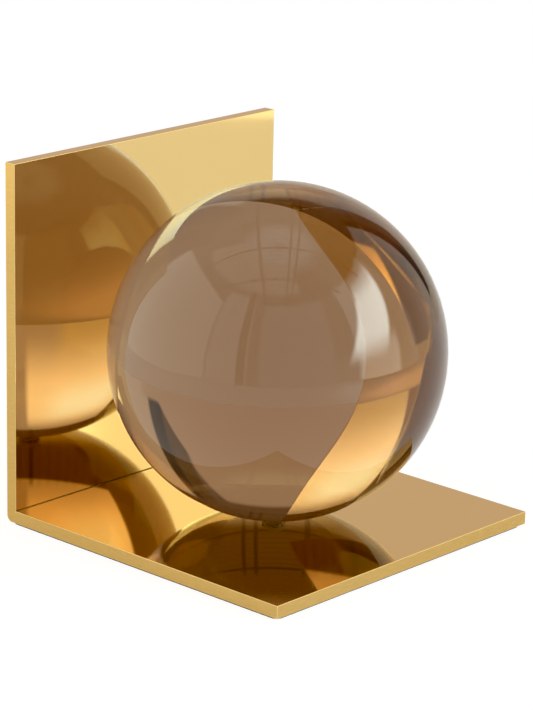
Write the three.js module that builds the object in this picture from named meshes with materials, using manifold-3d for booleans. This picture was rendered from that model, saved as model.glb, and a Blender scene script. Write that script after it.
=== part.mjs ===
// A bookend: a folded plate of polished brass carrying a solid ball of smoked crystal.
//
// Millimetres, +Z up. The upright stands at -X and the base runs from it towards +X, where the
// ball sits. Y runs along the width. The origin is the middle of the underside, so the bookend
// stands on the plane z = 0. The ball is held from below: a countersunk screw passes up through
// the base and a soft washer into a threaded insert that is bonded in the ball's blind bore.

import * as THREE from 'three';
import { mergeVertices } from 'three/addons/utils/BufferGeometryUtils.js';
import Module from 'manifold-3d';

const wasm = await Module();
wasm.setup();

// Driving dimensions
const width = 140;
const depth = 140;
const height = 140;
const plate = 5;
const foldRadius = 2.5;
const feltThickness = 1;
const feltInset = 1.2;
const feltCornerRadius = 3;

const ballDiameter = 128;
const ballToUpright = 4.5;
const ballFlatDiameter = 16;
const washerThickness = 0.5;
const washerDiameter = 14;

const insertDiameter = 8;
const insertLength = 12;
const insertGroove = 0.5;
const boreClearance = 0.3;
const boreDepth = 13.5;

const screwDiameter = 5;
const screwLength = 15;
const screwHeadDiameter = 9.6;
const screwHeadSetback = 0.3;
const screwRecessDepth = 1.6;
const screwRecessRadius = 1.7;
const screwClearance = 0.3;

// Levels, from the shelf upwards
const baseUnderside = feltThickness;
const baseTop = baseUnderside + plate;
const ballRadius = ballDiameter / 2;
const ballX = -depth / 2 + plate + ballToUpright + ballRadius;
const ballFlatZ = baseTop + washerThickness;
const flatRadius = ballFlatDiameter / 2;
const ballCentreZ = ballFlatZ + Math.sqrt(ballRadius ** 2 - flatRadius ** 2);

const roundSegments = 40;
const ballSegments = 56;
const ballRows = 28;

const finishes = {
  polishedBrass: { color: 0xd9ac63, roughness: 0.06, metalness: 1 },
  smokedCrystal: { color: 0x8a6d55, roughness: 0.02, metalness: 0, transparent: true, opacity: 0.6 },
  nitrileRubber: { color: 0x1c1b1a, roughness: 0.8, metalness: 0 },
  machinedBrass: { color: 0xb08d4f, roughness: 0.35, metalness: 1 },
  zincSteel: { color: 0xb9bcc0, roughness: 0.3, metalness: 1 },
  blackFelt: { color: 0x151413, roughness: 0.97, metalness: 0 },
};

function toSolid(geometry) {
  const bare = geometry.clone();
  bare.deleteAttribute('normal');
  bare.deleteAttribute('uv');
  const welded = mergeVertices(bare, 1e-4);
  return new wasm.Manifold(new wasm.Mesh({
    numProp: 3,
    vertProperties: new Float32Array(welded.attributes.position.array),
    triVerts: new Uint32Array(welded.index.array),
  }));
}

function toGeometry(solid) {
  const mesh = solid.getMesh();
  const geometry = new THREE.BufferGeometry();
  geometry.setAttribute('position', new THREE.BufferAttribute(new Float32Array(mesh.vertProperties), 3));
  geometry.setIndex(new THREE.BufferAttribute(new Uint32Array(mesh.triVerts), 1));
  geometry.computeVertexNormals();
  return geometry;
}

function piece(name, geometry, finish) {
  const mesh = new THREE.Mesh(geometry, new THREE.MeshStandardMaterial(finishes[finish]));
  mesh.name = name;
  return mesh;
}

// A profile of [radius, height] points, turned about a vertical axis.
function turned(profile, segments = roundSegments) {
  const points = profile.map(([radius, z]) => new THREE.Vector2(radius, z));
  return new THREE.LatheGeometry(points, segments).rotateX(Math.PI / 2);
}

// The folded plate: an L with a sharp inner corner and a rounded fold outside, with the screw's
// countersunk hole through the base.
function bracketGeometry() {
  const outline = new THREE.Shape();
  outline.moveTo(foldRadius, 0);
  outline.lineTo(depth, 0);
  outline.lineTo(depth, plate);
  outline.lineTo(plate, plate);
  outline.lineTo(plate, height);
  outline.lineTo(0, height);
  outline.lineTo(0, foldRadius);
  outline.absarc(foldRadius, foldRadius, foldRadius, Math.PI, 1.5 * Math.PI);
  const folded = new THREE.ExtrudeGeometry(outline, { depth: width, bevelEnabled: false, curveSegments: 6 });
  folded.rotateX(Math.PI / 2);
  folded.translate(-depth / 2, width / 2, baseUnderside);

  const holeRadius = screwDiameter / 2 + screwClearance;
  const sinkRadius = screwHeadDiameter / 2 + screwClearance;
  const overshoot = 1;
  const hole = turned([
    [0, -overshoot],
    [sinkRadius + overshoot, -overshoot],
    [holeRadius, sinkRadius - holeRadius],
    [holeRadius, plate + overshoot],
    [0, plate + overshoot],
  ]);
  hole.translate(ballX, 0, baseUnderside);
  return toGeometry(toSolid(folded).subtract(toSolid(hole)));
}

// The ball, with a ground flat underneath and the blind bore for the insert.
function ballGeometry() {
  const boreRadius = insertDiameter / 2 + boreClearance;
  const flatDrop = ballFlatZ - ballCentreZ;
  const profile = [
    [0, flatDrop + boreDepth],
    [boreRadius, flatDrop + boreDepth],
    [boreRadius, flatDrop],
    [flatRadius, flatDrop],
  ];
  const lowest = Math.atan2(flatDrop, flatRadius);
  for (let row = 1; row < ballRows; row += 1) {
    const angle = lowest + (Math.PI / 2 - lowest) * row / ballRows;
    profile.push([ballRadius * Math.cos(angle), ballRadius * Math.sin(angle)]);
  }
  profile.push([0, ballRadius]);
  return turned(profile, ballSegments);
}

// A flat ring under the ball, open in the middle for the screw.
function washerGeometry() {
  const inner = screwDiameter / 2 + screwClearance;
  const outer = washerDiameter / 2;
  return turned([
    [inner, 0],
    [outer, 0],
    [outer, washerThickness],
    [inner, washerThickness],
    [inner, 0],
  ]);
}

// The insert: a brass sleeve with grooves round it that key into the bonding resin.
function insertGeometry() {
  const inner = screwDiameter / 2 + screwClearance;
  const outer = insertDiameter / 2;
  const waist = outer - insertGroove;
  const band = insertLength / 5;
  const profile = [[inner, 0]];
  for (let ring = 0; ring < 5; ring += 1) {
    const radius = ring % 2 === 0 ? outer : waist;
    profile.push([radius, ring * band], [radius, (ring + 1) * band]);
  }
  profile.push([inner, insertLength], [inner, 0]);
  return turned(profile);
}

// The screw: a countersunk head with a driving recess, and a plain shank.
function screwGeometry() {
  const shank = screwDiameter / 2;
  const head = screwHeadDiameter / 2;
  const tip = 0.6;
  return turned([
    [0, screwRecessDepth],
    [screwRecessRadius, screwRecessDepth - 0.3],
    [screwRecessRadius, 0],
    [head, 0],
    [shank, head - shank],
    [shank, screwLength - tip],
    [shank - tip, screwLength],
    [0, screwLength],
  ]);
}

// The felt pad: a sheet under the whole base, drawn in a little from its edges.
function feltGeometry() {
  const x = depth / 2 - feltInset;
  const y = width / 2 - feltInset;
  const corner = feltCornerRadius;
  const outline = new THREE.Shape();
  outline.moveTo(x, y - corner);
  outline.absarc(x - corner, y - corner, corner, 0, Math.PI / 2);
  outline.absarc(corner - x, y - corner, corner, Math.PI / 2, Math.PI);
  outline.absarc(corner - x, corner - y, corner, Math.PI, 1.5 * Math.PI);
  outline.absarc(x - corner, corner - y, corner, 1.5 * Math.PI, 2 * Math.PI);
  return new THREE.ExtrudeGeometry(outline, { depth: feltThickness, bevelEnabled: false, curveSegments: 6 });
}

const bookend = new THREE.Group();
bookend.add(piece('bracket', bracketGeometry(), 'polishedBrass'));
bookend.add(piece('felt_pad', feltGeometry(), 'blackFelt'));

const ballAssembly = new THREE.Group();
ballAssembly.position.set(ballX, 0, 0);
bookend.add(ballAssembly);

const ball = piece('crystal_ball', ballGeometry(), 'smokedCrystal');
ball.position.z = ballCentreZ;
const washer = piece('cushion_washer', washerGeometry(), 'nitrileRubber');
washer.position.z = baseTop;
const insert = piece('threaded_insert', insertGeometry(), 'machinedBrass');
insert.position.z = ballFlatZ + boreClearance;
const screw = piece('mounting_screw', screwGeometry(), 'zincSteel');
screw.position.z = baseUnderside + screwHeadSetback;
ballAssembly.add(ball, washer, insert, screw);

export default bookend;
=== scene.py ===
# %% [markdown]
# # A brass bookend with a crystal ball
# A folded plate of polished brass stands on a shelf, and a heavy ball of smoked crystal is screwed down
# on its base. Mirror metal and clear glass have almost no look of their own: they show the room around
# them. So this lesson makes exact shapes first, then their finishes, and last a small studio for them to
# look at.

# %% The frame
import math

import bpy
import numpy as np
from mathutils import Matrix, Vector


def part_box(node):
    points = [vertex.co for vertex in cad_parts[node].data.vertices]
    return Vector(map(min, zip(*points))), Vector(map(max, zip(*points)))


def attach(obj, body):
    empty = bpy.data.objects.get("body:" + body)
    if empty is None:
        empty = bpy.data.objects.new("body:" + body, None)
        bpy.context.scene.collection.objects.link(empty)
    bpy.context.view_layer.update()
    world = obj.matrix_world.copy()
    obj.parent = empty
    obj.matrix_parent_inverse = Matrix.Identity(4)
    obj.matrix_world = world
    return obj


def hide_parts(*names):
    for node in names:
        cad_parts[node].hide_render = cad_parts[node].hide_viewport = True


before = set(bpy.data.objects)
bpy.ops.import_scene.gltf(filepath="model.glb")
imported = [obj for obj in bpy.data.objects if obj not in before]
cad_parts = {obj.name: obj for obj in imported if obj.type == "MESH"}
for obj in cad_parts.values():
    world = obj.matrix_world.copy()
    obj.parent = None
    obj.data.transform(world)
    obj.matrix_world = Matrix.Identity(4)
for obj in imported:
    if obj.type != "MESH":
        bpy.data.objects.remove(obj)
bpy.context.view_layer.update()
MM = 0.001
scene = bpy.context.scene
dice = np.random.default_rng(7)


def corners(node):
    """Lowest and highest corner of an engineering part, as arrays in metres."""
    low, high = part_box(node)
    return np.array(low), np.array(high)


BRACKET_LOW, BRACKET_HIGH = corners("bracket")
BALL_LOW, BALL_HIGH = corners("crystal_ball")
WASHER_LOW, WASHER_HIGH = corners("cushion_washer")
INSERT_LOW, INSERT_HIGH = corners("threaded_insert")
SCREW_LOW, SCREW_HIGH = corners("mounting_screw")
FELT_LOW, FELT_HIGH = corners("felt_pad")
print("frame parts:", sorted(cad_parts))

# %% [markdown]
# ## From numbers to a mesh
# Every new piece here is a surface worked out as whole arrays: a grid of points, joined into quads.
# Spheres and cylinders from the menu would be quicker, but a grid lets the ball keep its ground flat and
# its bore, and gives the screw a real thread. One helper joins neighbouring points, another puts the
# result in Blender, and a third reads back which way the faces look, to tell one face from another.

# %% Grids and meshes
def grid_faces(rows, columns):
    """Quads between neighbouring rows and columns of a grid whose last column joins its first."""
    row, column = np.meshgrid(np.arange(rows - 1), np.arange(columns), indexing="ij")
    ahead = (column + 1) % columns
    this_row, next_row = row * columns, (row + 1) * columns
    quads = [this_row + column, this_row + ahead, next_row + ahead, next_row + column]
    return np.stack(quads, -1).reshape(-1, 4)


def piece_from(name, points, faces):
    """A smooth-shaded mesh object that sits at the origin, with its place in its vertices."""
    mesh = bpy.data.meshes.new(name)
    mesh.from_pydata(np.asarray(points).tolist(), [], [tuple(map(int, face)) for face in faces])
    mesh.update()
    mesh.polygons.foreach_set("use_smooth", np.ones(len(mesh.polygons), bool))
    made = bpy.data.objects.new(name, mesh)
    scene.collection.objects.link(made)
    print(name, "has", len(mesh.vertices), "points and", len(mesh.polygons), "faces")
    return made


def face_data(mesh):
    """The faces' normals and centres as two arrays."""
    normals, centres = np.zeros(len(mesh.polygons) * 3), np.zeros(len(mesh.polygons) * 3)
    mesh.polygons.foreach_get("normal", normals)
    mesh.polygons.foreach_get("center", centres)
    return normals.reshape(-1, 3), centres.reshape(-1, 3)


# %% [markdown]
# ## Turned shapes
# The ball, washer, insert and screw are all round, so all four come from one function: a profile of radii
# and heights carried round an axis, as a lathe does. Letting the radius also depend on the angle is what
# turns a plain rod into a thread, a knurl or a six-sided socket.

# %% A lathe
def turned(name, radii, heights, centre, columns, shaped=None):
    """Carries a profile round the vertical axis: x = radius cos(angle), y = radius sin(angle), z = height.
    shaped(radius, height, angle) may change the radius. A profile that starts and ends on the axis is
    closed with two fans, and any other profile is joined from its last ring back to its first."""
    radii, heights = np.asarray(radii, float), np.asarray(heights, float)
    angles = np.linspace(0, 2 * math.pi, columns, endpoint=False)
    on_axis = radii[0] == 0 and radii[-1] == 0
    inner = slice(1, -1) if on_axis else slice(None)
    radius = np.repeat(radii[inner, None], columns, 1)
    height = np.repeat(heights[inner, None], columns, 1)
    if shaped is not None:
        radius = shaped(radius, height, angles[None, :])
    points = np.stack([radius * np.cos(angles), radius * np.sin(angles), height], -1).reshape(-1, 3)
    faces = list(grid_faces(len(radius), columns))
    here = np.arange(columns)
    ahead = (here + 1) % columns
    last_ring = (len(radius) - 1) * columns
    if on_axis:
        count = len(points)
        points = np.vstack([points, [0, 0, heights[0]], [0, 0, heights[-1]]])
        faces += list(np.stack([np.full(columns, count), ahead, here], -1))
        faces += list(np.stack([np.full(columns, count + 1), last_ring + here, last_ring + ahead], -1))
    else:
        faces += list(np.stack([last_ring + here, last_ring + ahead, ahead, here], -1))
    return piece_from(name, points + np.asarray(centre), faces)


# %% [markdown]
# ## The camera
# A long lens from in front of the base's near corner, a little above it, so that both mirror faces and
# the whole ball show and the plate's edges stay nearly parallel.

# %% Camera
CAMERA_PLACE = (0.7315, -0.7969, 0.3976)
CAMERA_AZIMUTH, CAMERA_ELEVATION, CAMERA_ROLL = 42.63, 16.96, 1.18
LOOKING_TOWARDS = 132.6  # the compass angle of the view, used to square the table and the ceiling to it
LENS_MM = 152.7

camera_data = bpy.data.cameras.new("camera")
camera_data.lens = LENS_MM
camera_data.clip_start = 0.05
camera = bpy.data.objects.new("camera", camera_data)
scene.collection.objects.link(camera)
camera.location = CAMERA_PLACE
turn = Matrix.Rotation(math.radians(CAMERA_AZIMUTH), 4, "Z")
turn = turn @ Matrix.Rotation(math.radians(90 - CAMERA_ELEVATION), 4, "X")
turn = turn @ Matrix.Rotation(math.radians(CAMERA_ROLL), 4, "Z")
camera.rotation_euler = turn.to_euler()
scene.camera = camera
print("camera stands", round(math.dist(CAMERA_PLACE, (0, 0, 0.07)), 3), "m away")

# %% [markdown]
# ## The folded plate
# The real bracket is one 5 mm brass plate, scored along the inside of the fold and bent square. The bend
# leaves a small radius outside and a hairline groove inside, where the two mirror faces meet. The outline
# is an arc and straight lines, carried along the width. A groove three tenths of a millimetre deep is
# enough to draw the thin dark line along the inner corner.

# %% Plate outline
PLATE = 5 * MM
FOLD_RADIUS = 2.5 * MM
GROOVE = 0.3 * MM


def plate_outline():
    """The L seen from the side as (x, z): a quarter circle round the fold, then the base's end, the groove
    at the inner corner and the upright's top."""
    x0, z0 = BRACKET_LOW[0], BRACKET_LOW[2]
    x1, z1 = BRACKET_HIGH[0], BRACKET_HIGH[2]
    bend = np.radians(np.linspace(180, 270, 19))
    fold = np.stack([x0 + FOLD_RADIUS * (1 + np.cos(bend)), z0 + FOLD_RADIUS * (1 + np.sin(bend))], -1)
    inner_x, inner_z = x0 + PLATE, z0 + PLATE
    bottom = (inner_x - GROOVE, inner_z - GROOVE)
    groove = [(inner_x + GROOVE, inner_z), bottom, (inner_x, inner_z + GROOVE)]
    return np.array([*fold, (x1, z0), (x1, inner_z), *groove, (inner_x, z1), (x0, z1)])


outline = plate_outline()
print("outline points:", len(outline))

# %% [markdown]
# ## The plate and its hole
# The outline becomes a closed solid, and a turned plug cuts the countersunk hole from below with a
# Boolean, which is how the drill and the countersink cut the real one. The result is baked into the mesh,
# and the plug is thrown away.

# %% Bracket plate
def extruded(name, profile, y0, y1):
    """Two copies of the profile, at y0 and y1, joined by one quad for each side."""
    count = len(profile)
    points = np.vstack([np.insert(profile, 1, y0, 1), np.insert(profile, 1, y1, 1)])
    here = np.arange(count)
    ahead = (here + 1) % count
    sides = np.stack([here + count, ahead + count, ahead, here], -1)
    return piece_from(name, points, [*sides, range(count), range(2 * count - 1, count - 1, -1)])


bracket = extruded("bracket_plate", outline, BRACKET_LOW[1], BRACKET_HIGH[1])
ball_x = (BALL_LOW[0] + BALL_HIGH[0]) / 2
HOLE_RADIUS, SINK_RADIUS = 2.8 * MM, 5.1 * MM
PAST = MM  # how far the plug stands out of the plate at each end
plug = turned("plug", [0, SINK_RADIUS + PAST, HOLE_RADIUS, HOLE_RADIUS, 0],
              [-PAST, -PAST, SINK_RADIUS - HOLE_RADIUS, PLATE + PAST, PLATE + PAST],
              (ball_x, 0, BRACKET_LOW[2]), 64)
cut = bracket.modifiers.new("hole", "BOOLEAN")
cut.object = plug
cut.solver = "EXACT"
drilled = bpy.data.meshes.new_from_object(bracket.evaluated_get(bpy.context.evaluated_depsgraph_get()))
bracket.modifiers.clear()
bracket.data = drilled
bpy.data.objects.remove(plug)
print("bracket faces after drilling:", len(drilled.polygons))

# %% [markdown]
# ## Which faces are polished
# The two mirror faces, the back, the underside and the top edge were buffed together. The sides and the
# base's end keep the marks of the belt, and the scored groove is dull. Each face picks its finish by the
# way it looks and where it is. A Bevel then breaks every sharp edge by three tenths of a millimetre: that
# bright arris is what makes a sheared plate look like metal. Hardened normals keep the big faces
# perfectly flat, so that they mirror without a ripple.

# %% Bracket finishes and arris
POLISHED, LINISHED, DARK_GROOVE = 0, 1, 2
normals, centres = face_data(bracket.data)
base_end = (normals[:, 0] > 0.9) & (centres[:, 0] > BRACKET_HIGH[0] - MM)
cut_faces = (abs(normals[:, 1]) > 0.9) | base_end
groove_edge = BRACKET_LOW + PLATE + GROOVE
in_corner = (centres[:, 0] < groove_edge[0]) & (centres[:, 2] < groove_edge[2])
aslant = (normals[:, 0] + normals[:, 2] > 0.2) & (abs(normals[:, 0] * normals[:, 2]) > 0.1)
groove_faces = in_corner & aslant
finish = np.where(groove_faces, DARK_GROOVE, np.where(cut_faces, LINISHED, POLISHED))
bracket.data.polygons.foreach_set("material_index", finish.astype(np.int32))
bracket.data.set_sharp_from_angle(angle=math.radians(20))
arris = bracket.modifiers.new("arris", "BEVEL")
arris.width = 0.3 * MM
arris.material = POLISHED
arris.segments = 3
arris.limit_method = "ANGLE"
arris.angle_limit = math.radians(50)
arris.harden_normals = True
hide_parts("bracket")
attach(bracket, "root")
print("bracket cut faces:", int(cut_faces.sum()), "groove faces:", int(groove_faces.sum()))

# %% [markdown]
# ## The ball
# A crystal ball is ground and polished between cup tools, and this one then has a small flat ground on
# its underside and a blind bore up the middle. Everything seen in it is bent light, so its surface has to
# be a true sphere: a fine grid with smooth shading, not a few dozen faces smoothed over. The bore's wall
# is set a tenth of a millimetre inside the metal insert, as if the resin between them were clear, so no
# air shows.

# %% Ball
BALL_RADIUS = (BALL_HIGH[0] - BALL_LOW[0]) / 2
FLAT_RADIUS = 8 * MM
RESIN = 0.1 * MM
BALL_ROWS, BALL_COLUMNS = 160, 320
CLEAR, GROUND = 0, 1
ball_z = BALL_HIGH[2] - BALL_RADIUS
insert_radius = (INSERT_HIGH[0] - INSERT_LOW[0]) / 2
bore_radius = insert_radius - RESIN
bore_top = INSERT_HIGH[2] - RESIN - ball_z
lowest = -math.acos(FLAT_RADIUS / BALL_RADIUS)
latitude = np.linspace(lowest, math.pi / 2, BALL_ROWS)[:-1]
flat = BALL_RADIUS * math.sin(lowest)
ball = turned("smoked_ball",
              [0, bore_radius, bore_radius, *(BALL_RADIUS * np.cos(latitude)), 0],
              [bore_top, bore_top, flat, *(BALL_RADIUS * np.sin(latitude)), BALL_RADIUS],
              (ball_x, 0, ball_z), BALL_COLUMNS)
centres = face_data(ball.data)[1]
away = np.linalg.norm(centres - [ball_x, 0, ball_z], axis=1)
finish = np.where(away < BALL_RADIUS - 0.3 * MM, GROUND, CLEAR)
ball.data.polygons.foreach_set("material_index", finish.astype(np.int32))
ball.data.set_sharp_from_angle(angle=math.radians(25))
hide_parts("crystal_ball")
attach(ball, "root")
print("ball", round(2 * BALL_RADIUS / MM, 2), "mm across")
print("its centre is", round(ball_z / MM, 2), "mm above the shelf")

# %% [markdown]
# ## The cushion washer
# A thin ring of soft black rubber keeps glass off metal. It is punched from sheet, so its faces are flat
# and its edges only slightly rounded. It is squeezed to half a millimetre, and bulges a little in the
# middle.

# %% Washer
BULGE = 0.12 * MM


def washer_profile(inner, outer, thick):
    """A closed ring section: flat faces, with both edges bulging out as half a flattened ellipse."""
    side = np.linspace(-math.pi / 2, math.pi / 2, 9)
    radii = [*(outer - BULGE + BULGE * np.cos(side)), *(inner + BULGE - BULGE * np.cos(side))]
    heights = [*(thick / 2 * (1 + np.sin(side))), *(thick / 2 * (1 - np.sin(side)))]
    return radii, heights


washer_outer = (WASHER_HIGH[0] - WASHER_LOW[0]) / 2
radii, heights = washer_profile(HOLE_RADIUS, washer_outer, WASHER_HIGH[2] - WASHER_LOW[2])
washer = turned("rubber_washer", radii, heights, (ball_x, 0, WASHER_LOW[2]), 96)
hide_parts("cushion_washer")
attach(washer, "root")

# %% [markdown]
# ## The threaded insert
# A brass sleeve bonded in the bore takes the screw. Grooves round it and a diamond knurl between them
# give the resin something to hold. The knurl is two sets of spiral waves laid over each other, so it
# costs no more than a radius that depends on angle and height.

# %% Insert
KNURL_STARTS, KNURL_STEP, KNURL_DEPTH = 26, 0.9 * MM, 0.15 * MM
BANDS, BAND_DEPTH = 5, 0.5 * MM
THREAD_HOLE_RADIUS = 2.8 * MM


def knurled(radius, height, angle):
    """Takes the knurl's depth off the outer bands where two opposite spirals dip together:
    dip = 1/2 - (cos(starts angle + rise) + cos(starts angle - rise)) / 4, with rise = pi height / step."""
    spiral = KNURL_STARTS * angle
    rise = height / KNURL_STEP * math.pi
    dip = 0.5 - 0.25 * (np.cos(spiral + rise) + np.cos(spiral - rise))
    return np.where(radius > insert_radius - 0.2 * MM, radius - KNURL_DEPTH * dip, radius)


insert_length = INSERT_HIGH[2] - INSERT_LOW[2]
levels = np.linspace(0, 1, 61)
on_band = (levels * BANDS).astype(int).clip(0, BANDS - 1) % 2 == 0
banded = np.where(on_band, insert_radius, insert_radius - BAND_DEPTH)
radii = [THREAD_HOLE_RADIUS, *banded, THREAD_HOLE_RADIUS]
heights = [0, *(levels * insert_length), insert_length]
insert = turned("knurled_insert", radii, heights, (ball_x, 0, INSERT_LOW[2]), 208, knurled)
insert.data.set_sharp_from_angle(angle=math.radians(40))
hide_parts("threaded_insert")
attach(insert, "root")

# %% [markdown]
# ## The screw
# A countersunk M5 machine screw with a hexagon socket. The thread is a 60 degree ridge that climbs 0.8 mm
# in each turn: at any height, the radius depends on the angle plus the height, and that alone winds it
# into a helix. The socket's wall swaps the circle for a hexagon.

# %% Screw
THREAD_PITCH, THREAD_DEPTH = 0.8 * MM, 0.43 * MM
SHANK_RADIUS = 2.5 * MM
SOCKET_HALF_WIDTH = 1.5 * MM
screw_length = SCREW_HIGH[2] - SCREW_LOW[2]
head_radius = (SCREW_HIGH[0] - SCREW_LOW[0]) / 2
thread_start = 3.4 * MM


def screw_shape(radius, height, angle):
    """Above the head the radius loses a triangle wave of angle and height together, fading in over one
    turn. Inside the socket it is the distance to a hexagon's side: half its width over cos(angle)."""
    turns = height / THREAD_PITCH - angle / (2 * math.pi)
    valley = 1 - abs(2 * (turns % 1) - 1)
    fade = np.clip((height - thread_start) / THREAD_PITCH, 0, 1) * (radius > 1.95 * MM)
    side = (angle + math.pi / 6) % (math.pi / 3) - math.pi / 6
    socket = (height < 1.7 * MM) & (radius < 1.75 * MM) & (radius > SOCKET_HALF_WIDTH)
    return np.where(socket, SOCKET_HALF_WIDTH / np.cos(side), radius - THREAD_DEPTH * valley * fade)


# From the axis outwards: the drill's point and the socket's wall, the head's rim and cone, then the shank.
shank = np.linspace(2.3 * MM, screw_length - 0.6 * MM, 140)
radii = [0, 0.8 * MM, 1.7 * MM, 1.7 * MM, head_radius - 0.2 * MM, head_radius, head_radius,
         *np.full(len(shank), SHANK_RADIUS), 1.9 * MM, 0]
heights = [1.9 * MM, 1.6 * MM, 1.3 * MM, 0, 0, 0.1 * MM, 0.3 * MM, *shank, screw_length, screw_length]
screw = turned("socket_screw", radii, heights, (ball_x, 0, SCREW_LOW[2]), 96, screw_shape)
screw.data.set_sharp_from_angle(angle=math.radians(35))
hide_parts("mounting_screw")
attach(screw, "root")

# %% [markdown]
# ## The felt's outline
# A pad of pressed wool felt, one millimetre thick, is glued under the base to save the shelf. A die cuts
# it, so its outline is clean: a square with small round corners. Both sides and corners come from one
# angle that goes once round, which keeps the points in rings that can shrink towards the middle.

# %% Felt outline
SIDE_SHARE, ARC_SHARE = 0.42, 0.16


def rounded_square(columns, half_x, half_y, corner):
    """Points round a rectangle with quarter-circle corners, as (x, y), and the way out of each. In every
    quarter turn the first 42 % go along one side, the next 16 % round the arc, the rest along the other."""
    angle = np.linspace(0, 2 * math.pi, columns, endpoint=False)
    quarter = np.floor(angle / (math.pi / 2))
    within = angle / (math.pi / 2) - quarter
    start = quarter * math.pi / 2
    swing = np.clip((within - SIDE_SHARE) / ARC_SHARE, 0, 1) * math.pi / 2 + start
    out = np.stack([np.cos(swing), np.sin(swing)], -1)
    index = quarter.astype(int) % 4
    sign_x, sign_y = np.array([1, -1, -1, 1])[index], np.array([1, 1, -1, -1])[index]
    middle = np.stack([sign_x * (half_x - corner), sign_y * (half_y - corner)], -1)
    before = 1 - np.clip(within / SIDE_SHARE, 0, 1)[:, None]
    after = np.clip((within - SIDE_SHARE - ARC_SHARE) / SIDE_SHARE, 0, 1)[:, None]
    first_way = np.stack([np.cos(start), np.sin(start)], -1)
    second_way = np.stack([-np.sin(start), np.cos(start)], -1)
    straight = [half_x - corner, half_y - corner]
    first_side = second_way * (np.abs(second_way) @ straight)[:, None]
    second_side = first_way * (np.abs(first_way) @ straight)[:, None]
    return middle + corner * out - first_side * before - second_side * after, out


FELT_THICK = 1 * MM
FELT_COLUMNS = 720
half = (FELT_HIGH - FELT_LOW) / 2
ring, outward = rounded_square(FELT_COLUMNS, half[0], half[1], 3 * MM)
print("felt outline:", len(ring), "points, reaching", (ring.max(0) / MM).round(2), "mm")

# %% [markdown]
# ## The felt pad
# The cut face is furry and its lower edge is soft, which a plain box can't show. The pad is built like a
# turned piece whose circle has become a rounded square: rings shrink towards the middle, a soft edge
# joins them, and seeded noise lifts the underside and frays the edge by a few hundredths of a millimetre.

# %% Felt
shrink = np.array([0.2, 0.4, 0.6, 0.8, 0.92, 0.985])
inset = np.array([0.22, 0.12, 0.05, 0.01, 0, 0, 0, 0.02]) * MM
edge_height = np.array([0, 0.01, 0.05, 0.15, 0.35, 0.6, 0.8, 1.0]) * FELT_THICK
under, edge, over = len(shrink), len(inset), len(shrink)
ring_count = under + edge + over
rings = [ring * s for s in shrink] + [ring - outward * i for i in inset] + [ring * s for s in shrink[::-1]]
levels = [0.0] * under + list(edge_height) + [FELT_THICK] * over
lifted, frayed = slice(0, 10), slice(6, 13)  # the underside's rings and the cut edge's, which overlap
lift, fray = np.zeros((2, ring_count, FELT_COLUMNS))
lift[lifted] = dice.uniform(0, 0.035 * MM, lift[lifted].shape)
fray[frayed] = dice.uniform(0, 0.06 * MM, fray[frayed].shape)
places = np.stack(rings) - outward * fray[:, :, None]
sheet = np.concatenate([places, (np.array(levels)[:, None] + lift)[:, :, None]], -1)
points = np.vstack([sheet.reshape(-1, 3), [0, 0, 0], [0, 0, FELT_THICK]])
here = np.arange(FELT_COLUMNS)
ahead = (here + 1) % FELT_COLUMNS
point_count, last_ring = ring_count * FELT_COLUMNS, (ring_count - 1) * FELT_COLUMNS
fans = [*np.stack([np.full(FELT_COLUMNS, point_count), ahead, here], -1),
        *np.stack([np.full(FELT_COLUMNS, point_count + 1), last_ring + here, last_ring + ahead], -1)]
middle = [(FELT_LOW[0] + FELT_HIGH[0]) / 2, (FELT_LOW[1] + FELT_HIGH[1]) / 2, FELT_LOW[2]]
felt = piece_from("felt_sheet", points + middle, [*grid_faces(ring_count, FELT_COLUMNS), *fans])
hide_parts("felt_pad")
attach(felt, "root")

# %% [markdown]
# ## Wiring nodes in few words
# Materials are graphs, and a graph written socket by socket is long. Four small helpers keep it readable:
# one gives a socket a value or a wire, one adds a maths node, one eases across an edge, and one mixes two
# colours. The last three return an output to wire on.

# %% Maths and colour helpers
def wired(tree, socket, value):
    """Gives a socket a plain value, or another node's output."""
    if isinstance(value, (int, float, tuple)):
        socket.default_value = value
    else:
        tree.links.new(value, socket)


def maths(tree, operation, *inputs, clamp=False):
    """A Math node: each input is a number or another node's output."""
    node = tree.nodes.new("ShaderNodeMath")
    node.operation = operation
    node.use_clamp = clamp
    for socket, value in zip(node.inputs, inputs):
        wired(tree, socket, value)
    return node.outputs[0]


def soft_step(tree, inside, softness):
    """0 outside and 1 inside an edge, easing over the softness: t = inside / softness + 1/2, eased."""
    t = maths(tree, "ADD", maths(tree, "DIVIDE", inside, softness), 0.5, clamp=True)
    ease = tree.nodes.new("ShaderNodeMapRange")
    ease.interpolation_type = "SMOOTHSTEP"
    tree.links.new(t, ease.inputs["Value"])
    return ease.outputs["Result"]


def colour_mix(tree, factor, first, second, blend="MIX"):
    """A colour Mix node: the first colour where the factor is 0 and the blended one where it is 1."""
    mix = tree.nodes.new("ShaderNodeMix")
    mix.data_type = "RGBA"
    mix.blend_type = blend
    for name, value in (("Factor", factor), ("A", first), ("B", second)):
        wired(tree, mix.inputs[name], value)
    return mix.outputs["Result"]


# %% [markdown]
# ## Starting materials and groups
# One helper starts a material and hands back its parts. Another starts a node group with named sockets,
# so that one effect can be placed in several materials with different values, and a third places it. The
# last gives noise on the object's own coordinates, which most of the groups are made of.

# %% Material and group helpers
def finish_named(name):
    """A new material: its tree and its Principled shader."""
    material = bpy.data.materials.new(name)
    material.use_nodes = True
    print("finish", name)
    return material, material.node_tree, material.node_tree.nodes["Principled BSDF"]


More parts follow.
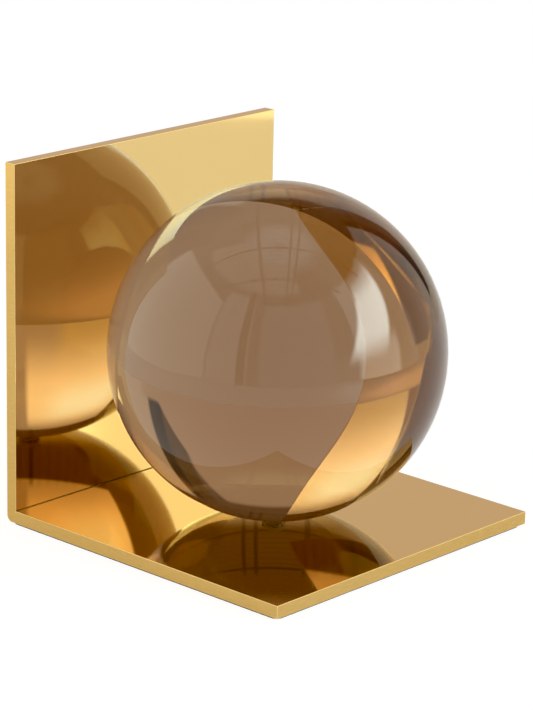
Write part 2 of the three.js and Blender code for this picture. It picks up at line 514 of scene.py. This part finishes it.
def group_named(name, inputs, outputs):
    """A node group with float or colour sockets: its tree, its input node and its output node."""
    tree = bpy.data.node_groups.new(name, "ShaderNodeTree")
    for kind, direction in ((inputs, "INPUT"), (outputs, "OUTPUT")):
        for label, value in kind.items():
            shape = "NodeSocketFloat" if isinstance(value, (int, float)) else "NodeSocketColor"
            socket = tree.interface.new_socket(label, in_out=direction, socket_type=shape)
            if direction == "INPUT":
                socket.default_value = value
    return tree, tree.nodes.new("NodeGroupInput"), tree.nodes.new("NodeGroupOutput")


def place(tree, group, **values):
    """The group as a node in a material, with its own values; a name's underscores stand for spaces."""
    node = tree.nodes.new("ShaderNodeGroup")
    node.node_tree = group
    for label, value in values.items():
        node.inputs[label.replace("_", " ")].default_value = value
    return node


def noise(tree, scale, detail=2.0, stretch=(1, 1, 1)):
    """Noise on the object's own coordinates, stretched by a Mapping node."""
    where = tree.nodes.new("ShaderNodeTexCoord")
    mapping = tree.nodes.new("ShaderNodeMapping")
    mapping.inputs["Scale"].default_value = stretch
    cloud = tree.nodes.new("ShaderNodeTexNoise")
    cloud.inputs["Scale"].default_value = scale
    cloud.inputs["Detail"].default_value = detail
    tree.links.new(where.outputs["Object"], mapping.inputs["Vector"])
    tree.links.new(mapping.outputs["Vector"], cloud.inputs["Vector"])
    return cloud.outputs["Fac"]


# %% [markdown]
# ## Handling haze
# Even a well-kept mirror has faint clouds where a cloth or a finger has been. Wide noise says where, fine
# noise breaks it up, and the product only ever nudges the roughness. Brass and crystal share the group,
# with different amounts.

# %% Haze group
haze, given, made = group_named(
    "handling_haze", {"Size": 14.0, "Amount": 0.02, "Base": 0.03}, {"Roughness": 0.0})
wide, fine = noise(haze, 14, 3), noise(haze, 160, 4)
for cloud, times in ((wide, 1.0), (fine, 11.0)):
    haze.links.new(maths(haze, "MULTIPLY", given.outputs["Size"], times), cloud.node.inputs["Scale"])
patch = maths(haze, "MULTIPLY", maths(haze, "SUBTRACT", wide, 0.42), 3.2, clamp=True)
mottled = maths(haze, "MULTIPLY", patch, fine)
haze.links.new(maths(haze, "MULTIPLY_ADD", mottled, given.outputs["Amount"], given.outputs["Base"]),
               made.inputs["Roughness"])
print("group", haze.name)

# %% [markdown]
# ## Ground grain
# The plate's sides and end are sheared and then linished on a belt, which leaves fine lines along them.
# The insert and the screw are turned, which leaves rings. Both are noise stretched hard in one direction.
# The group gives a height for bump and a tone that lightens and darkens the metal a little.

# %% Grain group
grain, given, made = group_named(
    "ground_grain", {"Along X": 1.0, "Along Y": 1.0, "Along Z": 1.0, "Contrast": 0.1},
    {"Height": 0.0, "Tone": 0.0})
where = grain.nodes.new("ShaderNodeTexCoord")
scaled = grain.nodes.new("ShaderNodeVectorMath")
scaled.operation = "MULTIPLY"
joined = grain.nodes.new("ShaderNodeCombineXYZ")
for axis in "XYZ":
    grain.links.new(given.outputs[f"Along {axis}"], joined.inputs[axis])
lines = grain.nodes.new("ShaderNodeTexNoise")
lines.inputs["Scale"].default_value = 100
lines.inputs["Detail"].default_value = 5
grain.links.new(where.outputs["Object"], scaled.inputs[0])
grain.links.new(joined.outputs[0], scaled.inputs[1])
grain.links.new(scaled.outputs[0], lines.inputs["Vector"])
centred = maths(grain, "SUBTRACT", lines.outputs["Fac"], 0.5)
grain.links.new(lines.outputs["Fac"], made.inputs["Height"])
tone = maths(grain, "MULTIPLY_ADD", centred, given.outputs["Contrast"], 1.0)
grain.links.new(tone, made.inputs["Tone"])
print("group", grain.name)

# %% [markdown]
# ## Fine speckle
# Felt, rubber and ground glass all scatter light from a surface that is rough at a scale too small to
# model. One group gives all three: a cell pattern over noise, with a size and a contrast.

# %% Speckle group
speckle, given, made = group_named(
    "fine_speckle", {"Size": 2000.0, "Contrast": 0.5}, {"Height": 0.0, "Tone": 0.0})
cloud = noise(speckle, 2000, 6)
speckle.links.new(given.outputs["Size"], cloud.node.inputs["Scale"])
cells = speckle.nodes.new("ShaderNodeTexVoronoi")
speckle.links.new(maths(speckle, "MULTIPLY", given.outputs["Size"], 0.6), cells.inputs["Scale"])
speckle.links.new(cloud.node.inputs["Vector"].links[0].from_socket, cells.inputs["Vector"])
rough = maths(speckle, "MULTIPLY_ADD", cells.outputs["Distance"], 0.5, cloud)
centred = maths(speckle, "SUBTRACT", rough, 0.72)
speckle.links.new(rough, made.inputs["Height"])
tone = maths(speckle, "MULTIPLY_ADD", centred, given.outputs["Contrast"], 1.0)
speckle.links.new(tone, made.inputs["Tone"])
print("group", speckle.name)

# %% [markdown]
# ## A colour that varies and a bump
# Each finish multiplies one colour by a tone, and most press a height into the normal. These two steps
# are written once.

# %% Tone and bump helpers
def toned(tree, shader, colour, tone):
    """Base Color = colour x tone."""
    tree.links.new(colour_mix(tree, 1, (*colour, 1), tone, "MULTIPLY"), shader.inputs["Base Color"])


def bumped(tree, shader, height, strength, depth):
    """Presses a height of so many metres into the shading normal."""
    bump = tree.nodes.new("ShaderNodeBump")
    bump.inputs["Strength"].default_value = strength
    bump.inputs["Distance"].default_value = depth
    tree.links.new(height, bump.inputs["Height"])
    tree.links.new(bump.outputs["Normal"], shader.inputs["Normal"])


# %% [markdown]
# ## Polished brass
# Buffed brass is close to a perfect mirror, and all its warmth is in the colour of what it reflects:
# almost all the red comes back, two thirds of the green, a third of the blue. Two bounces square those
# numbers, which is why the corner glows orange. The roughness is very low, with a little haze.

# %% Polished brass
BRASS = (0.90, 0.65, 0.28)
polished, tree, shader = finish_named("polished_brass")
shader.inputs["Metallic"].default_value = 1
clouded = place(tree, haze, Size=13.0, Amount=0.035, Base=0.045)
tree.links.new(clouded.outputs["Roughness"], shader.inputs["Roughness"])
buffing = place(tree, grain, Along_X=0.4, Along_Y=0.25, Along_Z=0.4, Contrast=0.03)
toned(tree, shader, BRASS, buffing.outputs["Tone"])
bracket.data.materials.append(polished)

# %% [markdown]
# ## Linished edges
# The plate's sides and the base's end are satin, with fine level lines from the belt. The metal is the
# same, so only roughness, bump and tone differ. A rough face gathers light from a wide part of the room,
# so its colour is set a little deeper than the mirror's to look like the same brass.

# %% Linished brass
linished, tree, shader = finish_named("linished_brass")
shader.inputs["Metallic"].default_value = 1
clouded = place(tree, haze, Size=40.0, Amount=0.12, Base=0.27)
tree.links.new(clouded.outputs["Roughness"], shader.inputs["Roughness"])
belt = place(tree, grain, Along_X=2.0, Along_Y=2.0, Along_Z=30.0, Contrast=0.35)
toned(tree, shader, (0.73, 0.475, 0.16), belt.outputs["Tone"])
bumped(tree, shader, belt.outputs["Height"], 0.35, 0.02 * MM)
bracket.data.materials.append(linished)

# %% [markdown]
# ## The groove
# The scored line at the inner corner is coloured a dull, near-black brown, which draws it as a thin dark
# line.

# %% Groove
groove_finish, tree, shader = finish_named("groove_near_black")
shader.inputs["Metallic"].default_value = 0.6
shader.inputs["Roughness"].default_value = 0.6
groove_speckle = place(tree, speckle, Size=900.0, Contrast=0.6)
# a near-black brown in the groove, much darker than the brass on either side of it
toned(tree, shader, (0.07, 0.04, 0.015), groove_speckle.outputs["Tone"])
bracket.data.materials.append(groove_finish)

# %% [markdown]
# ## Smoked crystal
# The glass is coloured through, so the smoke belongs in the volume, not on the surface: light loses a
# share of itself for every millimetre it crosses, less of the red than of the blue. Through the whole
# ball about a third of the red is left. The surface itself is clear and only faintly smudged.

# %% Smoked crystal
SMOKE_DENSITY = 20.0
SMOKE_COLOUR = (0.55, 0.325, 0.10)
GLASS_IOR = 1.517


def smoked(tree):
    """Fills the glass with its colour: a metre of it passes exp(-density (1 - colour)) of the light."""
    absorb = tree.nodes.new("ShaderNodeVolumeAbsorption")
    absorb.inputs["Color"].default_value = (*SMOKE_COLOUR, 1)
    absorb.inputs["Density"].default_value = SMOKE_DENSITY
    tree.links.new(absorb.outputs[0], tree.nodes["Material Output"].inputs["Volume"])


crystal, tree, shader = finish_named("smoked_crystal")
shader.inputs["Base Color"].default_value = (1, 1, 1, 1)
shader.inputs["Transmission Weight"].default_value = 1
shader.inputs["IOR"].default_value = GLASS_IOR
smudge = place(tree, haze, Size=22.0, Amount=0.012, Base=0.0)
tree.links.new(smudge.outputs["Roughness"], shader.inputs["Roughness"])
smoked(tree)
ball.data.materials.append(crystal)
through = [math.exp(-SMOKE_DENSITY * (1 - c) * 2 * BALL_RADIUS) for c in SMOKE_COLOUR]
print("light left through the middle:", [round(t, 3) for t in through])

# %% [markdown]
# ## Ground glass
# The flat and the bore are left rough by the grinding wheel. It is the same glass with a rough surface
# tinted a near-black brown, so that little light passes through these faces, and a fine speckle in its
# bump.

# %% Ground glass
frosted, tree, shader = finish_named("ground_crystal")
# a near-black brown on the flat and the bore, which darkens what is seen through them
shader.inputs["Base Color"].default_value = (0.05, 0.035, 0.025, 1)
shader.inputs["Transmission Weight"].default_value = 1
shader.inputs["IOR"].default_value = GLASS_IOR
shader.inputs["Roughness"].default_value = 0.6
shader.inputs["Specular IOR Level"].default_value = 0.1
bloom = place(tree, speckle, Size=3000.0, Contrast=0.3)
bumped(tree, shader, bloom.outputs["Height"], 0.3, 0.02 * MM)
smoked(tree)
ball.data.materials.append(frosted)

# %% [markdown]
# ## Rubber and felt
# Both are black and rough, but not in the same way. Rubber has a fine grit from its mould. Felt is the
# darkest thing here: light that gets between its fibres rarely comes out, and its colour is set darker
# still, as painted shade, so that its thin edge under the base also draws the contact shadow where the base
# meets the table. A little light comes back at grazing angles, which is the work of the sheen.

# %% Rubber and felt
rubber, tree, shader = finish_named("nitrile_rubber")
shader.inputs["Roughness"].default_value = 0.7
grit = place(tree, speckle, Size=2600.0, Contrast=0.5)
toned(tree, shader, (0.012, 0.0115, 0.011), grit.outputs["Tone"])
bumped(tree, shader, grit.outputs["Height"], 0.3, 0.01 * MM)
washer.data.materials.append(rubber)

felt_and_shade, tree, shader = finish_named("black_felt")
shader.inputs["Roughness"].default_value = 0.95
shader.inputs["Sheen Weight"].default_value = 0.08
shader.inputs["Sheen Roughness"].default_value = 0.6
fibres = place(tree, speckle, Size=1500.0, Contrast=1.1)
# painted shade: the felt is darker than the wool alone, so its edge under the base also draws the contact
# shadow
toned(tree, shader, (0.006, 0.0057, 0.0055), fibres.outputs["Tone"])
bumped(tree, shader, fibres.outputs["Height"], 0.8, 0.12 * MM)
felt.data.materials.append(felt_and_shade)

# %% [markdown]
# ## Turned brass and zinc
# The insert and the screw are seldom seen, but the bookend may be turned over or taken apart, so they get
# real finishes too. Both use the same rings from the lathe. Brass is left as turned, and the steel's zinc
# coat is blotchier, so its roughness comes from the haze group at a small size.

# %% Turned brass and zinc
turned_brass, tree, shader = finish_named("turned_brass")
shader.inputs["Metallic"].default_value = 1
shader.inputs["Roughness"].default_value = 0.34
rings = place(tree, grain, Along_X=1.0, Along_Y=1.0, Along_Z=60.0, Contrast=0.4)
toned(tree, shader, (0.74, 0.55, 0.27), rings.outputs["Tone"])
bumped(tree, shader, rings.outputs["Height"], 0.3, 0.01 * MM)
insert.data.materials.append(turned_brass)

zinc, tree, shader = finish_named("bright_zinc")
shader.inputs["Metallic"].default_value = 1
clouded = place(tree, haze, Size=300.0, Amount=0.25, Base=0.2)
tree.links.new(clouded.outputs["Roughness"], shader.inputs["Roughness"])
rings = place(tree, grain, Along_X=1.0, Along_Y=1.0, Along_Z=40.0, Contrast=0.2)
toned(tree, shader, (0.66, 0.67, 0.70), rings.outputs["Tone"])
screw.data.materials.append(zinc)

# %% [markdown]
# ## The table
# A pale table top that meets a white surround with no visible line. It is a square of finite size, turned
# to face the camera, so that the mirrors find its far edge as low as a real table's. It lies a tenth of a
# millimetre under the felt, and it is clear from below, so the underside can be looked at too.

# %% Table top
TABLE_HALF = 0.62
compass = np.radians(LOOKING_TOWARDS + 45 + 90 * np.arange(4))
reach = TABLE_HALF * math.sqrt(2)
table_corners = np.stack([np.cos(compass) * reach, np.sin(compass) * reach, 0 * compass - 0.1 * MM], -1)
floor = piece_from("floor", table_corners, [(0, 1, 2, 3)])

# %% [markdown]
# ## The table's look
# A lamp above the right-hand side makes a pool of light that the ball gathers into its bright corner. It
# is painted as a soft round glow around one point, over a weak even one. For the camera the table is
# blended most of the way to white, as a lit sweep of paper would be.

# %% Table paper
POOL_CENTRE, POOL_RADIUS, POOL_SOFTNESS = (0.42, 0.10, 0), 0.19, 0.12
POOL_GLOW, EVEN_GLOW = 0.6, 0.44
WHITE_GLOW, WHITE_SHARE = 1.08, 0.75
paper, tree, shader = finish_named("pale_floor")
shader.inputs["Base Color"].default_value = (0.575, 0.565, 0.54, 1)
shader.inputs["Roughness"].default_value = 0.9
shader.inputs["Specular IOR Level"].default_value = 0.1
shader.inputs["Emission Color"].default_value = (1.0, 0.97, 0.90, 1)
spill = tree.nodes.new("ShaderNodeVectorMath")
spill.operation = "DISTANCE"
tree.links.new(tree.nodes.new("ShaderNodeTexCoord").outputs["Object"], spill.inputs[0])
spill.inputs[1].default_value = POOL_CENTRE
pool = soft_step(tree, maths(tree, "SUBTRACT", POOL_RADIUS, spill.outputs["Value"]), POOL_SOFTNESS)
tree.links.new(maths(tree, "MULTIPLY_ADD", pool, POOL_GLOW, EVEN_GLOW), shader.inputs["Emission Strength"])
white = tree.nodes.new("ShaderNodeEmission")
white.inputs["Strength"].default_value = WHITE_GLOW
rays = tree.nodes.new("ShaderNodeLightPath")
geometry = tree.nodes.new("ShaderNodeNewGeometry")
clear = tree.nodes.new("ShaderNodeBsdfTransparent")


def shader_mix(factor, first, second):
    """A Mix Shader node in the table's material: the second shader's share is the factor."""
    mix = tree.nodes.new("ShaderNodeMixShader")
    for socket, value in zip(mix.inputs, (factor, first, second)):
        tree.links.new(value, socket)
    return mix.outputs[0]


whitened = maths(tree, "MULTIPLY", rays.outputs["Is Camera Ray"], WHITE_SHARE)
from_above = shader_mix(whitened, shader.outputs[0], white.outputs[0])
look = shader_mix(geometry.outputs["Backfacing"], from_above, clear.outputs[0])
tree.links.new(look, tree.nodes["Material Output"].inputs["Surface"])
floor.data.materials.append(paper)
print("table:", 2 * TABLE_HALF, "m square")

# %% [markdown]
# ## The studio, painted on the sky
# Mirror and glass need a room. It is painted on the world by direction, because then nothing stands in
# the way of another camera: azimuth is the compass angle from the base's free edge towards the far side,
# and elevation is the height above the horizon. One group paints a soft-edged panel over what is behind
# it. Its sides may lean, and a flat wall's top may sink towards its ends, as a straight edge does to the
# eye.

# %% Panel group
panel, given, made = group_named(
    "studio_panel",
    {"Azimuth": 0.0, "Elevation": 0.0, "Centre": 0.0, "Half Width": 10.0, "Low": -89.0, "High": 89.0,
     "Side Softness": 5.0, "Top Softness": 5.0, "Lean": 0.0, "Straight": 0.0,
     "Radiance": (1, 1, 1, 1), "Behind": (0, 0, 0, 1)},
    {"Colour": (0, 0, 0, 1)})


def edge_at(height, turned_by):
    """An elevation, or if Straight a flat panel's level edge, which sinks towards the panel's ends:
    atan(tan(height) cos(angle from its middle))."""
    steep = maths(panel, "TANGENT", maths(panel, "RADIANS", height))
    sunk = maths(panel, "DEGREES", maths(panel, "ARCTANGENT", maths(panel, "MULTIPLY", steep, turned_by)))
    drop = maths(panel, "SUBTRACT", sunk, height)
    return maths(panel, "MULTIPLY_ADD", drop, given.outputs["Straight"], height)


elevation_here = given.outputs["Elevation"]
side, top = given.outputs["Side Softness"], given.outputs["Top Softness"]
leaned = maths(panel, "MULTIPLY_ADD", elevation_here, given.outputs["Lean"], given.outputs["Centre"])
turned_by = maths(panel, "WRAP", maths(panel, "SUBTRACT", given.outputs["Azimuth"], leaned), 180.0, -180.0)
facing = maths(panel, "COSINE", maths(panel, "RADIANS", turned_by))
inside = maths(panel, "SUBTRACT", given.outputs["Half Width"], maths(panel, "ABSOLUTE", turned_by))
over_low = maths(panel, "SUBTRACT", elevation_here, edge_at(given.outputs["Low"], facing))
under_high = maths(panel, "SUBTRACT", edge_at(given.outputs["High"], facing), elevation_here)
across = soft_step(panel, inside, side)
above, below = soft_step(panel, over_low, top), soft_step(panel, under_high, top)
cover = maths(panel, "MULTIPLY", across, maths(panel, "MULTIPLY", above, below))
covered = colour_mix(panel, cover, given.outputs["Behind"], given.outputs["Radiance"])
panel.links.new(covered, made.inputs["Colour"])
print("group", panel.name)

# %% [markdown]
# ## Laying out the room
# Each line is one panel, painted over the lines before it: its centre and half width in degrees of
# azimuth, its lowest and highest elevation, how soft its sides and its top are, how far its sides lean,
# whether its top is straight, and its radiance in red, green and blue, where 1 is as bright as white
# paper. The key is a big cool window on the right. The far wall, a dark gap in it and the ceiling give
# the brass and the ball their darks.

# %% Room
ROOM = {
    # name: centre, half width, low, high, side softness, top softness, lean, straight, radiance
    "ceiling_back": (110, 75, 37, 70, 8, 8, 0, 0, (0.32, 0.25, 0.17)),
    "wall_back": (147, 46, -20, 38, 3, 5, 0.34, 0, (0.87, 0.79, 0.66)),
    "key": (34, 26, -20, 60, 3, 3, 0, 0, (1.25, 1.45, 1.90)),
    "key_low": (22, 13, -20, 10, 5, 14, 0, 0, (1.6, 1.8, 1.5)),
    "key_core": (26, 17.3, 5, 40, 2, 20, 0, 0, (3.2, 3.95, 4.6)),
    "key_heart": (23, 12, 17, 34, 14, 14, 0, 0, (3.3, 5.2, 8.2)),
    "peach": (78, 20, -20, 60, 6, 3, 0, 0, (0.97, 0.94, 0.80)),
    "above_key": (52, 50, 48.5, 68, 4, 1.5, 0, 0.5, (0.28, 0.22, 0.16)),
    "above_right": (345, 22, 47, 66, 6, 4, 0, 0, (0.17, 0.13, 0.08)),
    "right": (352.5, 16, -20, 48, 2, 3, 0, 0, (0.38, 0.35, 0.27)),
    "right_low": (352.5, 16, -20, 8, 2, 6, 0, 0, (0.66, 0.56, 0.47)),
    "skirting": (100, 8, -20, 0.5, 4, 2, 0, 0, (0.85, 0.78, 0.62)),
    "dark_gap": (101.3, 6.3, 0, 44, 2, 2, 0, 0, (0.24, 0.19, 0.12)),
    "dark_slot": (98, 2.7, 0.5, 44, 1.5, 2, 0, 0, (0.10, 0.10, 0.10)),
    "wall_wedge": (110, 10, -1, 18, 1.5, 3, 0.55, 0, (0.87, 0.79, 0.66)),
    "front_right": (326, 26, -20, 47, 3, 3, 0, 0, (0.67, 0.66, 0.66)),
    "panel_left": (228, 35, -20, 47, 2, 2, 0, 1, (1.35, 1.34, 1.15)),
    "front_mid": (278, 14, -20, 50, 3, 3, 0, 0, (1.05, 1.03, 0.92)),
    "post": (288, 3, -20, 62, 1.5, 2, 0, 0, (0.08, 0.07, 0.06)),
    "crown": (0, 400, 72, 89, 5, 12, 0, 0, (1.0, 1.15, 1.12)),
}
BARE_ROOM = (0.32, 0.27, 0.24)
print("room panels:", len(ROOM))

# %% [markdown]
# ## What only mirrors see
# A studio puts small cards and flags where only a reflection finds them. In a render that is a second
# list, painted over the room for one kind of ray only: the first reflection. Without it the glare that
# gives the ball its white highlight would also flood the light that passes through the glass.

# %% Mirrored cards
MIRRORED = {
    # the same columns as the room's
    "key_plain": (34, 26, -20, 50, 3, 3, 0, 0, (1.35, 1.40, 1.25)),
    "glare_low": (26, 16, -20, 12, 4, 10, 0, 0, (3.8, 3.6, 3.0)),
    "glare": (14, 15, 9, 42, 5, 16, 0.6, 0, (10.0, 11.0, 10.2)),
    "base_card": (132.5, 11, 10, 23, 5, 5, 0, 0, (0.60, 0.50, 0.45)),
    "dark_left": (172, 20, 18, 50, 4, 4, 0, 0, (0.14, 0.11, 0.09)),
    "front_ceiling": (270, 65, 54, 76, 6, 4, 0, 0, (1.0, 0.9, 0.75)),
}
print("panels in first reflections only:", len(MIRRORED))

# %% [markdown]
# ## Painting the panels
# The world's own coordinates are the ray's direction, so an arc tangent gives its azimuth and an arc sine
# its elevation. A loop then places one group for each line and feeds each one the paint below it.

# %% Painted room
world = bpy.data.worlds.new("studio")
scene.world = world
world.use_nodes = True
tree = world.node_tree
where = tree.nodes.new("ShaderNodeTexCoord")
split = tree.nodes.new("ShaderNodeSeparateXYZ")
tree.links.new(where.outputs["Generated"], split.inputs[0])
azimuth = maths(tree, "DEGREES", maths(tree, "ARCTAN2", split.outputs["Y"], split.outputs["X"]))
elevation = maths(tree, "DEGREES", maths(tree, "ARCSINE", split.outputs["Z"]))
SETTINGS = ("Centre", "Half Width", "Low", "High", "Side Softness", "Top Softness", "Lean", "Straight")


def painted(panels, paint=(*BARE_ROOM, 1)):
    """Each panel of a list is painted over the ones before it, and the first over the paint given."""
    for name, (*numbers, radiance) in panels.items():
        node = place(tree, panel, Radiance=(*radiance, 1))
        node.label = name
        for setting, number in zip(SETTINGS, numbers):
            node.inputs[setting].default_value = number
        for label, value in (("Azimuth", azimuth), ("Elevation", elevation), ("Behind", paint)):
            wired(tree, node.inputs[label], value)
        paint = node.outputs["Colour"]
    return paint


room = painted(ROOM)
mirrored_room = painted(MIRRORED, room)
print("panels painted:", len(ROOM) + len(MIRRORED))

# %% [markdown]
# ## Telling a first reflection from the rest
# The Light Path node says what kind of ray asks for the sky. A first reflection is a glossy ray that has
# not passed through glass and has bounced once only. The world is one step further on than the surface,
# so a ray of one bounce reads a depth of 2 here. Glass marks its own rays as glossy too, and they are
# taken away.

# %% First reflections
FIRST_REFLECTION = 2
rays = tree.nodes.new("ShaderNodeLightPath")
deeper = maths(tree, "GREATER_THAN", rays.outputs["Ray Depth"], FIRST_REFLECTION + 0.5)
through_or_deeper = maths(tree, "MAXIMUM", rays.outputs["Is Transmission Ray"], deeper)
reflected = maths(tree, "SUBTRACT", rays.outputs["Is Glossy Ray"], through_or_deeper, clamp=True)
paint = colour_mix(tree, reflected, room, mirrored_room)
print("the mirrored room is seen at ray depth", FIRST_REFLECTION)

# %% [markdown]
# ## Ceiling beams
# Thin lines near the top of the ball are the beams and slats of a ceiling. They are straight on a level
# ceiling and bend only in the glass, so they are drawn on a plane one unit up: where a ray meets it is
# its sideways part divided by its upward part. Wrapping that distance repeats a line at every step. Longer
# paths blur such thin lines, so every ray but a first reflection sees them at half their darkness.

# %% Beams
OVERHEAD, OVERHEAD_SOFTNESS = 46.0, 3.0
LINE_SOFTNESS = 0.012
ROW_FROM, ROW_TO, ROW_AT, ROW_HALF = -0.235, 0.215, -0.01, 0.014
SLAT_STEP, SLAT_HALF, SLAT_SHARE = 0.06, 0.008, 0.4
CROSSING_LINES = ((-0.10, 0.012), (-0.17, 0.012), (0.19, 0.018))
BEAM_DARKNESS, BLURRED_SHARE = 0.85, 0.5
LOWEST_RISE = 0.2
upward = maths(tree, "MAXIMUM", split.outputs["Z"], LOWEST_RISE)
ahead, aside = math.cos(math.radians(LOOKING_TOWARDS)), math.sin(math.radians(LOOKING_TOWARDS))


def ceiling_place(east, north):
    """Where the ray meets the ceiling, measured along one direction: (east x + north y) / z."""
    eastward = maths(tree, "MULTIPLY", split.outputs["X"], east)
    return maths(tree, "DIVIDE", maths(tree, "MULTIPLY_ADD", split.outputs["Y"], north, eastward), upward)


def beam(place_across, middle, half_width):
    """1 on a beam: where the distance from its middle is less than half its width."""
    off = maths(tree, "ABSOLUTE", maths(tree, "SUBTRACT", place_across, middle))
    return soft_step(tree, maths(tree, "SUBTRACT", half_width, off), LINE_SOFTNESS)


along, across = ceiling_place(ahead, aside), ceiling_place(-aside, ahead)
row = maths(tree, "WRAP", along, ROW_TO, ROW_FROM)
slat = maths(tree, "WRAP", along, SLAT_STEP / 2, -SLAT_STEP / 2)
beams = beam(row, ROW_AT, ROW_HALF)
for middle, half_width in CROSSING_LINES:
    beams = maths(tree, "MAXIMUM", beams, beam(across, middle, half_width))
beams = maths(tree, "MAXIMUM", beams, maths(tree, "MULTIPLY", beam(slat, 0, SLAT_HALF), SLAT_SHARE))
overhead = soft_step(tree, maths(tree, "SUBTRACT", elevation, OVERHEAD), OVERHEAD_SOFTNESS)
share = maths(tree, "MULTIPLY_ADD", reflected, 1 - BLURRED_SHARE, BLURRED_SHARE)
shade = maths(tree, "MULTIPLY", beams, maths(tree, "MULTIPLY", overhead, share))
print("beams across:", len(CROSSING_LINES))

# %% [markdown]
# ## The finished sky
# The beams darken the paint, and the camera itself sees plain white wherever it looks past the bookend.

# %% Sky
beamed = tree.nodes.new("ShaderNodeVectorMath")
beamed.operation = "SCALE"
tree.links.new(paint, beamed.inputs[0])
tree.links.new(maths(tree, "MULTIPLY_ADD", shade, -BEAM_DARKNESS, 1.0), beamed.inputs["Scale"])
seen = colour_mix(tree, rays.outputs["Is Camera Ray"], beamed.outputs["Vector"], (1, 1, 1, 1))
tree.links.new(seen, tree.nodes["Background"].inputs["Color"])
print("nodes in the sky:", len(tree.nodes))

# %% [markdown]
# ## Light through glass
# A ray may cross the ball, bounce between the two mirrors and cross the ball again, so the path tracer is
# allowed more bounces than usual.

# %% Light paths
scene.view_settings.view_transform = "Standard"
scene.view_settings.use_curve_mapping = True
scene.view_settings.curve_mapping.black_level = (0.004, 0.007, 0.010)
scene.cycles.max_bounces = 24
scene.cycles.transmission_bounces = 16
scene.cycles.glossy_bounces = 12
print("bounces allowed:", scene.cycles.max_bounces)
